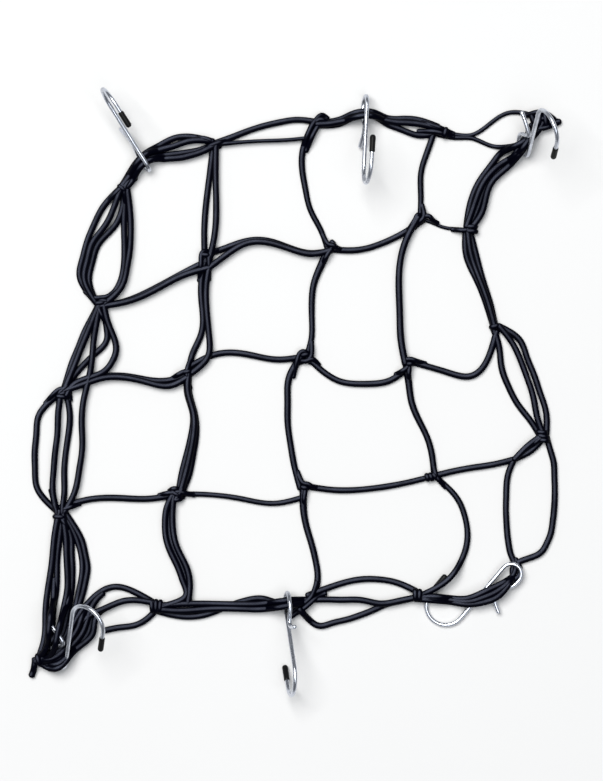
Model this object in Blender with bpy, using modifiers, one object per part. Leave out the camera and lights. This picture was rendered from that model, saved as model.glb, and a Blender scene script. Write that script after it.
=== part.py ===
"""Elastic cargo net, five knots by five, lying loose on a flat surface with six wire hooks on its border.

Lengths in the tables are millimetres. X runs across the net, Y up it and Z out of the surface under it.
The origin is under the middle knot. Run with: blender --background --python part.py
"""

import math

import bmesh
import bpy
from mathutils import Matrix, Vector

MM = 0.001
WELD = 0.00001
SHARP_ANGLE = math.radians(40.0)

# Cord, six-sided here with a flat underneath
CORD_RADIUS = 2.1
CORD_SEAT = CORD_RADIUS * math.cos(math.pi / 6.0)
ROUTE_STEPS = 48
ROUTE_TOLERANCE = 1.0
LAYER_RISE = 2.9

# Knots, barrels with two ridges: each profile point's share of the radius and of the half length
BARREL_SIDES = 8
BARREL = ((0.0, 1.0), (0.5, 1.0), (1.0, 0.62), (0.8, 0.0), (1.0, -0.62), (0.5, -1.0), (0.0, -1.0))
KNOT_SEAT = 0.88
KNOT_REST = 0.3

# Hooks, each one wire: an eye with a flared mouth, a straight shank and an open bend
WIRE_RADIUS = 1.4
HOOK_LENGTH = 62.4
EYE_RADIUS = 6.2
BEND_RADIUS = 12.0
LIMB_LENGTH = 14.0
ARC_STEPS = 10

# The wire from its flared end back to the eye: u along the hook, v across it
EYE_MOUTH = (
    (31.0, -15.5), (27.5, -9.6), (24.2, -5.4), (21.5, -4.0), (18.8, -5.8), (15.8, -9.4), (12.0, -12.0),
)

# Where the cords of a bundle lie in an eye, by the wire's return and by its shank: u, v
RETURN_SLOTS = ((7.0, -8.2), (10.6, -7.8), (13.3, -6.0))
SHANK_SLOTS = ((6.8, -4.1), (10.6, -4.0), (14.4, -3.8))

# Dipped tips, cups over the end of the wire
TIP_CLEARANCE = 0.4
TIP_WALL = 0.5
TIP_RADIUS = WIRE_RADIUS + TIP_CLEARANCE + TIP_WALL
TIP_LENGTH = 11.0
TIP_SIDES = 10

# Cords that cross a wire lying under them ride over it, and bundles gather where they pass through an eye
RIDE_CLEARANCE = 0.8
LOW_WIRE = 8.6
RIDE_FLAT = 3.0
RIDE_FADE = 14.0
KNOT_BLEND = 7.0
GATHER_LENGTH = 24.0

# name: x, y, turn of the barrel in degrees, length, radius
KNOTS = {
    "A1": (-113.0, 103.0, 50, 10.0, 4.8),
    "A2": (-56.5, 130.5, 10, 9.0, 4.2),
    "A3": (6.5, 142.5, 61, 17.0, 3.9),
    "A4": (81.5, 139.5, -30, 9.0, 4.2),
    "A5": (145.0, 145.0, 0, 14.0, 5.2),
    "B1": (-127.5, 32.5, 85, 11.0, 4.8),
    "B2": (-61.5, 60.0, 90, 14.0, 4.4),
    "B3": (15.5, 66.0, 60, 11.0, 4.2),
    "B4": (72.0, 85.5, -5, 11.0, 3.8),
    "B5": (101.5, 78.5, 90, 8.0, 4.8),
    "C1": (-150.5, -23.5, 70, 12.0, 4.8),
    "C2": (-73.0, -10.0, 100, 12.0, 4.6),
    "C3": (0.0, 0.0, 0, 10.0, 4.3),
    "C4": (64.0, -5.0, 90, 10.0, 4.1),
    "C5": (117.0, 17.5, 105, 12.0, 4.2),
    "D1": (-152.0, -96.0, 90, 12.0, 5.4),
    "D2": (-80.0, -85.5, -10, 13.0, 4.6),
    "D3": (-1.0, -82.0, 90, 12.0, 4.1),
    "D4": (78.5, -75.0, 30, 10.0, 4.2),
    "D5": (146.5, -49.5, 90, 13.0, 4.6),
    "E1": (-168.0, -189.0, 55, 9.0, 4.6),
    "E2": (-93.5, -155.0, 0, 7.0, 5.6),
    "E3": (1.0, -151.0, 38, 13.0, 4.1),
    "E4": (68.0, -148.0, 0, 7.0, 4.6),
    "E5": (127.1, -134.9, 48, 5.5, 3.6),
}

# Places where cords meet or end without a knot: x, y
MEETS = {
    "b2": (-60.0, 54.5),
    "a3": (2.0, 135.0),
    "c1": (-134.5, -15.0),
    "d5": (129.0, -64.0),
    "e2": (-73.0, -153.0),
    "e3": (-4.0, -156.5),
    "tail_a": (157.0, 145.0),
    "tail_e": (-170.0, -198.0),
    "tail_b": (-124.5, -170.0),
}

# from, to, layer, and how far the cord bows to the left of the straight line at even steps along it
CORDS = (
    # rows
    ("B1", "B2", 0, (-4.8, -4.2, -2.4)),
    ("B1", "b2", 1, (-4.2, -2.6, 0.4)),
    ("B2", "B3", 0, (6.2, 9.3, 8.4, 3.0, -1.3)),
    ("b2", "B3", 1, (6.8, 11.5, 10.0, 4.2, -1.0)),
    ("B3", "B4", 0, (-5.6, -6.8, -5.2)),
    ("B4", "B5", 0, (-1.6, -2.6, -1.6)),
    ("C1", "C2", 0, (5.4, 6.4, 4.4, -0.2, -3.0)),
    ("C1", "C2", 1, (3.6, 5.4, 3.4, -1.8, -6.4)),
    ("C2", "C3", 0, (8.6, 6.2, 0.3)),
    ("C3", "C4", 0, (-8.4, -13.8, -14.8, -13.9, -10.8)),
    ("C4", "C5", 0, (-5.6, -13.5, -20.7, -21.0, -14.1)),
    ("D1", "D2", 0, (4.5, 2.8, -0.4)),
    ("D2", "D3", 0, (-1.3, -4.7, -8.5)),
    ("D3", "D4", 0, (-2.9, -3.8, -2.5)),
    ("D4", "d5", 0, (0.8, 0.4, -0.4)),
    ("d5", "D5", 0, (-2.5,)),
    ("d5", "D5", 1, (1.2,)),
    # columns
    ("A2", "B2", 0, (-1.8, -2.8, -2.8)),
    ("A2", "B2", 1, (1.8, 3.4, 4.0)),
    ("B2", "C2", 0, (-1.2, 0.4, 3.4, 4.0, 0.9)),
    ("b2", "C2", 1, (0.5, 2.6, 5.8, 9.1, 10.0)),
    ("C2", "D2", 0, (0.5, 5.2, 5.6, 3.8, 1.8)),
    ("C2", "D2", 1, (1.2, 5.8, 7.0, 6.0, 4.2)),
    ("C2", "D2", 0, (1.8, 6.4, 8.4, 7.8, 6.4)),
    ("D2", "E2", 1, (-4.4, -4.0, -1.9, 2.7, 9.3, 14.6, 17.0)),
    ("D2", "e2", 0, (-5.2, -6.8, -5.2, -1.5, 0.4)),
    ("D2", "e2", 1, (-3.8, -4.6, -2.9, 1.2, 2.3)),
    ("A3", "B3", 0, (-9.7, -12.0, -11.4, -9.8, -5.0)),
    ("B3", "C3", 0, (-3.8, -5.5, -4.3, -1.6, 0.8)),
    ("C3", "D3", 0, (-10.3, -11.1, -10.9, -9.0, -6.4)),
    ("D3", "E3", 0, (-1.0, 0.4, 3.4, 5.8, 6.4)),
    ("A4", "B4", 0, (-4.0, -5.6, -3.3)),
    ("B4", "C4", 1, (-9.0, -11.4, -10.6, -8.7, -6.7)),
    ("C4", "D4", 0, (-2.8, -3.4, -1.2, 1.7, 2.2)),
    ("D4", "E4", 0, (15.2, 21.8, 25.4, 26.8, 25.6, 22.0, 15.0)),
    # top border
    ("A1", "A2", 0, (7.8, 11.8, 14.2, 15.0, 10.8)),
    ("A1", "A2", 1, (4.6, 7.6, 10.2, 10.2, 8.2)),
    ("A1", "A2", 0, (1.8, 3.6, 6.0, 4.6, 1.6)),
    ("A1", "A2", 1, (-1.2, -0.4, 1.8, 1.6, -0.2)),
    ("A2", "A3", 0, (2.8, 4.8, 6.1, 6.5, 5.9)),
    ("A2", "a3", 1, (0.5, 0.3, -0.3)),
    ("A3", "A4", 0, (3.2, 3.2, 4.4, 6.2, 6.2)),
    ("A3", "A4", 1, (1.6, 1.5, 2.8, 3.8, 3.6)),
    ("A3", "A4", 0, (0.6, 0.4, 1.4, 0.6, -3.2)),
    ("A4", "A5", 0, (-3.4, -4.4, 1.0, 6.8, 6.6)),
    ("A4", "A5", 0, (-5.2, -6.6, -12.0, -13.6, -11.5)),
    # right border
    ("A5", "B5", 0, (-10.0, -10.4, -10.8, -11.2, -8.5)),
    ("A5", "B5", 1, (-4.0, -3.8, -7.5, -8.6, -5.8)),
    ("A5", "B5", 0, (0.5, 0.2, -5.0, -6.2, -2.8)),
    ("A5", "B5", 1, (4.2, 3.8, -2.8, -4.0, 0.4)),
    ("B5", "C5", 0, (-6.2, -3.6, -1.6)),
    ("B5", "C5", 1, (-3.3, -2.0, -0.4)),
    ("B5", "C5", 0, (-0.2, 0.0, 0.8)),
    ("C5", "D5", 0, (10.7, 10.8, 10.4, 9.3, 7.8)),
    ("C5", "D5", 1, (5.8, 6.3, 5.6, 4.3, 1.5)),
    ("C5", "D5", 0, (-2.5, -6.2, -7.0, -6.2, -3.2)),
    ("D5", "E5", 0, (6.5, 10.4, 12.5, 14.4, 16.0, 17.2, 18.0, 18.3, 17.0, 12.8, 2.0)),
    ("d5", "E5", 0, (-2.5, -4.0, -4.4, -4.4, -4.4, -4.1, -3.6, -3.0, -2.0, -0.5, 1.8)),
    # bottom border
    ("E5", "E4", 0, (4.8, 7.2, 8.8, 6.4, 3.0)),
    ("E5", "E4", 1, (7.9, 10.3, 10.8, 7.6, 4.2)),
    ("E5", "E4", 0, (11.0, 13.2, 12.4, 8.8, 5.4)),
    ("E4", "E3", 0, (-8.0, -10.6, -11.1, -9.4, -6.2)),
    ("E4", "E3", 1, (3.2, 4.2, 1.6, 0.9, 0.2)),
    ("E4", "e3", 0, (2.6, 3.6, 6.2, 8.6, 10.3, 11.4, 11.3)),
    ("E3", "E2", 0, (-2.0, -2.2, 1.2, 6.4, 7.0)),
    ("E3", "E2", 1, (1.6, 1.4, 0.6, -0.4, -0.8)),
    ("E3", "E2", 1, (5.0, 4.6, 3.4, 3.0, 3.4)),
    ("E2", "E1", 0, (-19.0, -22.0, -17.0, -9.0, -3.5)),
    ("E2", "E1", 1, (-10.4, -11.8, -11.0, -5.0, 0.0)),
    ("E2", "tail_b", 0, (5.0, 5.0, 2.2)),
    # left border
    ("E1", "D1", 1, (-3.5, -1.5, -0.5, -0.2, 1.0)),
    ("E1", "D1", 0, (-7.0, -6.0, -5.5, -3.2, -2.2)),
    ("E1", "D1", 1, (-4.2, -9.4, -11.4, -12.0, -12.4, -12.5, -11.3, -9.5, -7.8, -6.2, -3.8)),
    ("E1", "D1", 0, (-4.6, -12.6, -15.0, -15.2, -15.2, -15.0, -14.2, -12.8, -11.0, -9.4, -5.5)),
    ("E1", "D1", 0, (-5.2, -14.5, -17.5, -19.5, -21.2, -22.3, -22.6, -22.3, -19.5, -16.0, -9.8)),
    ("D1", "C1", 0, (14.0, 16.4, 16.8, 16.0, 14.0)),
    ("D1", "C1", 1, (5.0, 4.8, 4.0, 2.8, 2.6)),
    ("D1", "C1", 0, (-2.0, -1.7, -2.4, -3.9, -4.4)),
    ("D1", "c1", 1, (-6.2, -6.0, -4.9, -1.6, 0.4)),
    ("C1", "B1", 0, (1.4, 2.2, 2.2, 2.2, 1.4)),
    ("C1", "B1", 1, (0.0, 0.0, 0.2, 0.2, 0.2)),
    ("C1", "B1", 0, (-1.5, -4.5, -8.8, -12.4, -8.0)),
    ("c1", "B1", 1, (-0.2, 0.5, 0.3)),
    ("C1", "B1", 1, (-5.5, -16.5, -20.7, -19.0, -10.0)),
    ("B1", "A1", 0, (15.0, 16.4, 15.7, 13.4, 9.8)),
    ("B1", "A1", 1, (12.2, 13.0, 12.0, 6.5, 3.5)),
    ("B1", "A1", 0, (9.5, 10.0, 8.4, 1.3, -1.5)),
    ("B1", "A1", 0, (-8.6, -9.8, -8.0, -5.2, -3.0)),
    ("B1", "A1", 1, (-10.8, -12.0, -11.5, -9.6, -6.6)),
    # free ends
    ("A5", "tail_a", 0, (0.0,)),
    ("E1", "tail_e", 0, (0.5,)),
)

# name: x and y of the eye's outer end, heading, pitch and roll in degrees, and the bundle in its eye
HOOKS = {
    "hook_top_left": (-95.0, 113.0, 122, 12, 98, ("A1", "A2")),
    "hook_top": (38.0, 163.0, 267, 12, 80, ("A3", "A4")),
    "hook_top_right": (136.5, 121.0, 80, 58, 125, ("A5", "B5")),
    "hook_bottom_left": (-149.5, -196.0, 80, 38, 150, ("E2", "E1")),
    "hook_bottom": (-13.5, -150.0, 279, 35, 255, ("E3", "E2")),
    "hook_bottom_right": (127.0, -125.0, 230, -5, 180, None),
}

# Knots that stay down inside an eye, and bundles that pass under the wires above them
LOW_KNOTS = ("E5",)
LOW_BUNDLES = (("D5", "E5"), ("d5", "E5"), ("E1", "D1"))

# name: colour, roughness, metallic
FINISHES = {
    "elastic_cord": ((0.012, 0.012, 0.016, 1.0), 0.75, 0.0),
    "zinc_wire": ((0.62, 0.64, 0.67, 1.0), 0.32, 1.0),
    "dipped_tip": ((0.014, 0.014, 0.015, 1.0), 0.5, 0.0),
}


def clear_scene():
    for item in list(bpy.data.objects):
        bpy.data.objects.remove(item, do_unlink=True)


def make_collection(name, is_tool=False):
    collection = bpy.data.collections.new(name)
    collection.hide_render = is_tool
    bpy.context.scene.collection.children.link(collection)
    return collection


def make_material(name):
    colour, roughness, metallic = FINISHES[name]
    material = bpy.data.materials.new(name)
    material.use_nodes = True
    shader = material.node_tree.nodes["Principled BSDF"]
    shader.inputs["Base Color"].default_value = colour
    shader.inputs["Roughness"].default_value = roughness
    shader.inputs["Metallic"].default_value = metallic
    return material


def as_mesh(item, collection):
    """Replaces an object with the closed mesh that its curve or modifiers make."""
    graph = bpy.context.evaluated_depsgraph_get()
    mesh = bpy.data.meshes.new_from_object(item.evaluated_get(graph))
    shape = bmesh.new()
    shape.from_mesh(mesh)
    bmesh.ops.remove_doubles(shape, verts=shape.verts, dist=WELD)
    bmesh.ops.recalc_face_normals(shape, faces=shape.faces)
    shape.to_mesh(mesh)
    shape.free()
    mesh.shade_smooth()
    mesh.set_sharp_from_angle(angle=SHARP_ANGLE)
    name = item.name
    place = item.matrix_world.copy()
    bpy.data.objects.remove(item, do_unlink=True)
    solid = bpy.data.objects.new(name, mesh)
    solid.matrix_world = place
    collection.objects.link(solid)
    return solid


def make_tube(name, points, radius, collection, twist="Z_UP", resolution=1):
    """A round tube along points given in millimetres."""
    curve = bpy.data.curves.new(name, "CURVE")
    curve.dimensions = "3D"
    curve.twist_mode = twist
    curve.bevel_depth = radius * MM
    curve.bevel_resolution = resolution
    curve.use_fill_caps = True
    spline = curve.splines.new("POLY")
    spline.points.add(len(points) - 1)
    for spot, point in zip(spline.points, points):
        spot.co = (point.x * MM, point.y * MM, point.z * MM, 1.0)
    item = bpy.data.objects.new(name, curve)
    collection.objects.link(item)
    bpy.context.view_layer.update()
    return as_mesh(item, collection)


def make_turned(name, profile, sides, place, collection):
    """A profile of radius and height in millimetres, top first, turned about Z and set at a place."""
    mesh = bpy.data.meshes.new(name)
    points = [(radius * MM, 0.0, height * MM) for radius, height in profile]
    mesh.from_pydata(points, [(i, i + 1) for i in range(len(points) - 1)], [])
    item = bpy.data.objects.new(name, mesh)
    turn = item.modifiers.new("turn", "SCREW")
    turn.steps = sides
    turn.render_steps = sides
    turn.use_merge_vertices = True
    turn.merge_threshold = WELD
    collection.objects.link(item)
    item.matrix_world = place
    bpy.context.view_layer.update()
    return as_mesh(item, collection)


def smooth_step(share):
    share = min(max(share, 0.0), 1.0)
    return share * share * (3.0 - 2.0 * share)


def natural_spline(values, share):
    """A smooth curve through evenly spaced values, straight at its two ends."""
    count = len(values) - 1
    bends = [0.0] * (count + 1)
    slopes = [0.0] * (count + 1)
    for i in range(1, count):
        pull = 6.0 * (values[i + 1] - 2.0 * values[i] + values[i - 1])
        pivot = 4.0 - slopes[i - 1]
        slopes[i] = 1.0 / pivot
        bends[i] = (pull - bends[i - 1]) / pivot
    for i in range(count - 1, 0, -1):
        bends[i] -= slopes[i] * bends[i + 1]
    i = min(int(share * count), count - 1)
    t = share * count - i
    rest = 1.0 - t
    chord = rest * values[i] + t * values[i + 1]
    return chord + (bends[i] * (rest**3 - rest) + bends[i + 1] * (t**3 - t)) / 6.0


def hook_wire():
    """The wire's middle line in hook coordinates, from the flared end round the eye to the open end."""
    points = [Vector((u, v, 0.0)) for u, v in EYE_MOUTH]
    for i in range(ARC_STEPS + 1):
        angle = math.pi * i / ARC_STEPS
        u = WIRE_RADIUS + EYE_RADIUS * (1.0 - math.sin(angle))
        v = -EYE_RADIUS * (1.0 + math.cos(angle))
        points.append(Vector((u, v, 0.0)))
    for i in range(ARC_STEPS + 1):
        angle = math.pi * i / ARC_STEPS
        u = HOOK_LENGTH - WIRE_RADIUS - BEND_RADIUS * (1.0 - math.sin(angle))
        v = BEND_RADIUS * (1.0 - math.cos(angle))
        points.append(Vector((u, v, 0.0)))
    points.append(points[-1] - Vector((LIMB_LENGTH, 0.0, 0.0)))
    return points


def hook_spots():
    """Close points along a hook in its own coordinates, each with the radius of the wire or tip there."""
    points = hook_wire()
    spots = []
    for start, end in zip(points, points[1:]):
        steps = math.ceil((end - start).length / WIRE_RADIUS)
        spots += [(start.lerp(end, i / steps), WIRE_RADIUS) for i in range(steps)]
    end = points[-1]
    spots.append((end, TIP_RADIUS))
    return [(spot, TIP_RADIUS if (spot - end).length < TIP_LENGTH else radius) for spot, radius in spots]


def hook_frame(row):
    """Takes hook coordinates to those of the net, with the hook's lowest place on the surface."""
    x, y, heading, pitch, roll = row[:5]
    turn = Matrix.Rotation(math.radians(heading), 4, "Z")
    turn = turn @ Matrix.Rotation(math.radians(-pitch), 4, "Y")
    turn = turn @ Matrix.Rotation(math.radians(roll), 4, "X")
    lowest = min((turn @ spot).z - radius for spot, radius in hook_spots())
    return Matrix.Translation((x, y, -lowest)) @ turn


def low_wires():
    """Tops of the low places on the hooks."""
    tops = []
    for row in HOOKS.values():
        frame = hook_frame(row)
        tops += [frame @ spot + Vector((0.0, 0.0, radius)) for spot, radius in hook_spots()]
    return [top for top in tops if top.z < LOW_WIRE]


def ride_height(x, y, wires):
    """How far the wires under the spot x, y lift what crosses them."""
    height = 0.0
    for top in wires:
        away = math.hypot(x - top.x, y - top.y)
        over = top.z + RIDE_CLEARANCE
        height = max(height, over * (1.0 - smooth_step((away - RIDE_FLAT) / RIDE_FADE)))
    return height


def place_of(name):
    x, y = KNOTS[name][:2] if name in KNOTS else MEETS[name]
    return Vector((x, y, 0.0))


def knot_lift(name, wires):
    """How far a knot lies above the surface."""
    if name in LOW_KNOTS:
        return 0.0
    place = place_of(name)
    return ride_height(place.x, place.y, wires)


def plain_route(row, low_tops):
    """Close points along one cord, from one knot's middle to the next, over any wires on its way."""
    first, last, layer, bows = row
    start, end = place_of(first), place_of(last)
    left = Vector((start.y - end.y, end.x - start.x, 0.0)).normalized()
    sides = (0.0,) + bows + (0.0,)
    wires = [] if (first, last) in LOW_BUNDLES else low_tops
    lifts = [knot_lift(name, low_tops) for name in (first, last)]
    rise = layer * LAYER_RISE
    route = []
    for i in range(ROUTE_STEPS + 1):
        share = i / ROUTE_STEPS
        point = start.lerp(end, share) + left * natural_spline(sides, share)
        height = max(rise, ride_height(point.x, point.y, wires))
        for place, lift in zip((start, end), lifts):
            near = 1.0 - smooth_step((point - place).length / KNOT_BLEND)
            height += near * (max(rise, lift) - height)
        point.z = CORD_SEAT + height
        route.append(point)
    return route


def crossing(route, frame):
    """Where a route crosses the plane of a hook: the step just before it."""
    across = [(frame.inverted() @ point).z for point in route]
    steps = [i for i in range(len(route) - 1) if across[i] * across[i + 1] <= 0.0]
    return min(steps, key=lambda i: (frame.inverted() @ route[i]).length)


def gather(routes, frame):
    """Bends a bundle's routes so that they pass through the eye of a hook, each in a slot of its own."""
    layers = ([], [])
    for row, route in routes:
        step = crossing(route, frame)
        layers[row[2]].append(((frame.inverted() @ route[step]).x, step, route))
    sets = sorted((RETURN_SLOTS, SHANK_SLOTS), key=lambda slots: (frame @ Vector((*slots[0], 0.0))).z)
    for found, slots in zip(layers, sets):
        found.sort(key=lambda item: item[0])
        starts = range(len(slots) - len(found) + 1)
        start = min(starts, key=lambda k: sum(abs(item[0] - slot[0]) for item, slot in zip(found, slots[k:])))
        for (_, step, route), slot in zip(found, slots[start:]):
            shift = frame @ Vector((*slot, 0.0)) - route[step]
            middle = route[step].copy()
            for point in route:
                point += shift * (1.0 - smooth_step((point - middle).length / GATHER_LENGTH))
                point.z = max(point.z, CORD_SEAT)


def cord_routes():
    """The routes of all cords, gathered where they pass through an eye."""
    wires = low_wires()
    routes = [(row, plain_route(row, wires)) for row in CORDS]
    for hook in HOOKS.values():
        if hook[5]:
            gather([pair for pair in routes if pair[0][:2] == hook[5]], hook_frame(hook))
    return [route for _, route in routes]


def thin_out(route):
    """The fewest of a route's points that keep within ROUTE_TOLERANCE of it."""
    start, end = route[0], route[-1]
    chord = (end - start).normalized()
    gaps = [(point - start).cross(chord).length for point in route]
    widest = max(range(len(route)), key=lambda i: gaps[i])
    if gaps[widest] < ROUTE_TOLERANCE:
        return [start, end]
    return thin_out(route[: widest + 1])[:-1] + thin_out(route[widest:])


def build_knot(name, wires, collection):
    """A barrel with two raised wraps, flattened underneath."""
    x, y, heading, length, radius = KNOTS[name]
    lift = knot_lift(name, wires)
    place = Matrix.Translation(Vector((x, y, KNOT_SEAT * radius + lift)) * MM)
    place = place @ Matrix.Rotation(math.radians(heading), 4, "Z") @ Matrix.Rotation(math.pi / 2.0, 4, "Y")
    place = place @ Matrix.Rotation(math.pi / BARREL_SIDES, 4, "Z")
    profile = [(share * radius, along * length / 2.0) for share, along in BARREL]
    knot = make_turned("knot_" + name, profile, BARREL_SIDES, place, collection)
    back = knot.matrix_world.inverted()
    for vertex in knot.data.vertices:
        spot = knot.matrix_world @ vertex.co
        spot.z = max(spot.z, (lift + KNOT_REST) * MM)
        vertex.co = back @ spot
    return knot


def build_net(collection, tools, material):
    wires = low_wires()
    net = build_knot("C3", wires, collection)
    net.name = "net"
    for name in KNOTS:
        if name != "C3":
            build_knot(name, wires, tools)
    for number, route in enumerate(cord_routes()):
        make_tube("cord_{:02d}".format(number), thin_out(route), CORD_RADIUS, tools)
    for tool in tools.objects:
        tool.display_type = "WIRE"
        tool.hide_render = True
    net.data.materials.append(material)
    union = net.modifiers.new("union", "BOOLEAN")
    union.operation = "UNION"
    union.operand_type = "COLLECTION"
    union.collection = tools


def build_hook(name, row, collection, wire_material, tip_material):
    """One bent wire and the cup of its dipped tip."""
    points = hook_wire()
    wire = make_tube(name, points, WIRE_RADIUS, collection, "MINIMUM", 2)
    wire.data.materials.append(wire_material)
    bore = WIRE_RADIUS + TIP_CLEARANCE
    end = TIP_CLEARANCE + TIP_WALL
    mouth = end - TIP_LENGTH
    profile = (
        (0.0, end), (0.6 * TIP_RADIUS, end), (TIP_RADIUS, end - 0.4 * TIP_RADIUS), (TIP_RADIUS, mouth),
        (bore, mouth), (bore, TIP_CLEARANCE), (0.0, TIP_CLEARANCE),
    )
    ahead = (points[-1] - points[-2]).to_track_quat("Z", "Y").to_matrix().to_4x4()
    place = Matrix.Translation(points[-1] * MM) @ ahead
    tip = make_turned(name + "_tip", profile, TIP_SIDES, place, collection)
    tip.data.materials.append(tip_material)
    tip.parent = wire
    frame = hook_frame(row)
    wire.location = frame.to_translation() * MM
    wire.rotation_euler = frame.to_euler()


def main():
    clear_scene()
    cargo_net = make_collection("cargo_net")
    pieces = make_collection("net_pieces", is_tool=True)
    finishes = {name: make_material(name) for name in FINISHES}
    for name, row in HOOKS.items():
        build_hook(name, row, cargo_net, finishes["zinc_wire"], finishes["dipped_tip"])
    build_net(cargo_net, pieces, finishes["elastic_cord"])


main()
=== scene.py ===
"""Elastic cargo net with wire hooks, lying loose on a flat surface.

Braided cords, tied knots, bright hooks with dipped tips, and a pale stage. Lengths in the tables are
millimetres, with the origin under the middle knot.
"""

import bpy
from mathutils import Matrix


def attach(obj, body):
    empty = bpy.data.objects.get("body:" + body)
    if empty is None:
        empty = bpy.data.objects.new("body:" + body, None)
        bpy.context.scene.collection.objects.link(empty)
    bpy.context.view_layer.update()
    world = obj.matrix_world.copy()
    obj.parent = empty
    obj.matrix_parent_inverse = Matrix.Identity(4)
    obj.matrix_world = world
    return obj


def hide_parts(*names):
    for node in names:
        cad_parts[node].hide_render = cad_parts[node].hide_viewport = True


bl_info = {
    "name": "Cargo Net",
    "version": (1, 0, 0),
    "blender": (4, 5, 0),
    "location": "3D Viewport > Sidebar > Cargo Net",
    "description": "Builds an elastic cargo net with wire hooks, and a stage for it",
    "category": "Add Mesh",
}

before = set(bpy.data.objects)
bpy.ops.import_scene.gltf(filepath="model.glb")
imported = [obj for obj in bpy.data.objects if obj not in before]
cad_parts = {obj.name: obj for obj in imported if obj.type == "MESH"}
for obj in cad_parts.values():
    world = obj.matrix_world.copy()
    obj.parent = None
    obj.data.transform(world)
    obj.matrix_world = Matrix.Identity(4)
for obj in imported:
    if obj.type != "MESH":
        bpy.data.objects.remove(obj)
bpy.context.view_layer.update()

import math
import random

import bpy
from mathutils import Matrix, Vector

MM = 0.001
BODY = "root"

# Cords and knots, as the solids have them
CORD_RADIUS = 2.1
CORD_SEAT = CORD_RADIUS * math.cos(math.pi / 6.0)
ROUTE_STEPS = 96
LAYER_RISE = 2.9
KNOT_SEAT = 0.88

# Hooks: an eye with a flared mouth, a straight shank and an open bend
WIRE_RADIUS = 1.4
HOOK_LENGTH = 62.4
EYE_RADIUS = 6.2
BEND_RADIUS = 12.0
LIMB_LENGTH = 14.0
ARC_STEPS = 28
TIP_RADIUS = 2.3
TIP_LENGTH = 11.0

# Cords ride over the wires that lie under them, and bundles gather where they pass through an eye
RIDE_CLEARANCE = 0.8
LOW_WIRE = 8.6
HIGH_WIRE = 19.5
RIDE_FLAT = 3.0
RIDE_FADE = 14.0
KNOT_BLEND = 7.0
END_SPREAD = 2.6
BOW_TO_ENTRY = 0.45
GATHER_LENGTH = 24.0

# How far the top strands of a knot lie above its lowest ones, and how a winding sits round them
PLAIN_CROWN = 2.5
DOUBLE_CROWN = 3.5
BAND_SLACK = 0.5
BAND_POWER = 0.8
BAND_STEP_SHARE = 1.5

# How soon loose strands and strands over a knot reach their height, as slopes along them
STRAY_CLIMB = 4.0
OVER_CLIMB = 2.4

# Rounded ends of tubes: where the first ring lies, and how far they reach as a share of the radius
FIRST_RING = 0.35
END_REACH = 0.7
END_RINGS = 3

# How much a cord's thickness wanders along it, and how fast
SWELL_AMOUNT = 0.035
SWELL_PHASE = 6.28
SWELL_PACES = (0.16, 0.26)

# Fineness of the shapes
CORD_SIDES = 16
CORD_STEP = 1.5
WRAP_STEP = 0.9
WIRE_SIDES = 20
WIRE_STEP = 0.8
TIP_SIDES = 32
SPLINE_PARTS = 16
SHARP_ANGLE = 50.0

# The stage, in metres
VIEW_MIDDLE = (-0.0028, -0.0214)
SENSOR_HEIGHT = 24.0
FLOOR_HALF = 3.0
FLOOR_LEVEL = -0.0004

# The side of the cords that takes the painted highlight, as a direction from them towards the key light
PAINTED_HIGHLIGHT_SIDE = (-0.20, 0.27, 0.94)

# The wire from its flared end back to the eye: u along the hook, v across it
EYE_MOUTH = (
    (31.0, -15.5), (27.5, -9.6), (24.2, -5.4), (21.5, -4.0), (18.8, -5.8), (15.8, -9.4), (12.0, -12.0),
)

# Where the cords of a bundle lie in an eye, by the wire's return and by its shank: u, v
RETURN_SLOTS = ((7.0, -8.2), (10.6, -7.8), (13.3, -6.0))
SHANK_SLOTS = ((6.8, -4.1), (10.6, -4.0), (14.4, -3.8))

# name: x, y, turn of the barrel in degrees, length, radius
KNOTS = {
    "A1": (-113.0, 103.0, 50, 10.0, 4.8),
    "A2": (-56.5, 130.5, 10, 9.0, 4.2),
    "A3": (6.5, 142.5, 61, 17.0, 3.9),
    "A4": (81.5, 139.5, -30, 9.0, 4.2),
    "A5": (145.0, 145.0, 0, 14.0, 5.2),
    "B1": (-127.5, 32.5, 85, 11.0, 4.8),
    "B2": (-61.5, 60.0, 90, 14.0, 4.4),
    "B3": (15.5, 66.0, 60, 11.0, 4.2),
    "B4": (72.0, 85.5, -5, 11.0, 3.8),
    "B5": (101.5, 78.5, 90, 8.0, 4.8),
    "C1": (-150.5, -23.5, 70, 12.0, 4.8),
    "C2": (-73.0, -10.0, 100, 12.0, 4.6),
    "C3": (0.0, 0.0, 0, 10.0, 4.3),
    "C4": (64.0, -5.0, 90, 10.0, 4.1),
    "C5": (117.0, 17.5, 105, 12.0, 4.2),
    "D1": (-152.0, -96.0, 90, 12.0, 5.4),
    "D2": (-80.0, -85.5, -10, 13.0, 4.6),
    "D3": (-1.0, -82.0, 90, 12.0, 4.1),
    "D4": (78.5, -75.0, 30, 10.0, 4.2),
    "D5": (146.5, -49.5, 90, 13.0, 4.6),
    "E1": (-168.0, -189.0, 55, 9.0, 4.6),
    "E2": (-93.5, -155.0, 0, 7.0, 5.6),
    "E3": (1.0, -151.0, 38, 13.0, 4.1),
    "E4": (68.0, -148.0, 0, 7.0, 4.6),
    "E5": (127.1, -134.9, 48, 5.5, 3.6),
}

# Places where cords meet or end without a knot: x, y
MEETS = {
    "b2": (-60.0, 54.5),
    "a3": (2.0, 135.0),
    "c1": (-134.5, -15.0),
    "d5": (129.0, -64.0),
    "e2": (-73.0, -153.0),
    "e3": (-4.0, -156.5),
    "tail_a": (157.0, 145.0),
    "tail_e": (-170.0, -198.0),
    "tail_b": (-124.5, -170.0),
}

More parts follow.
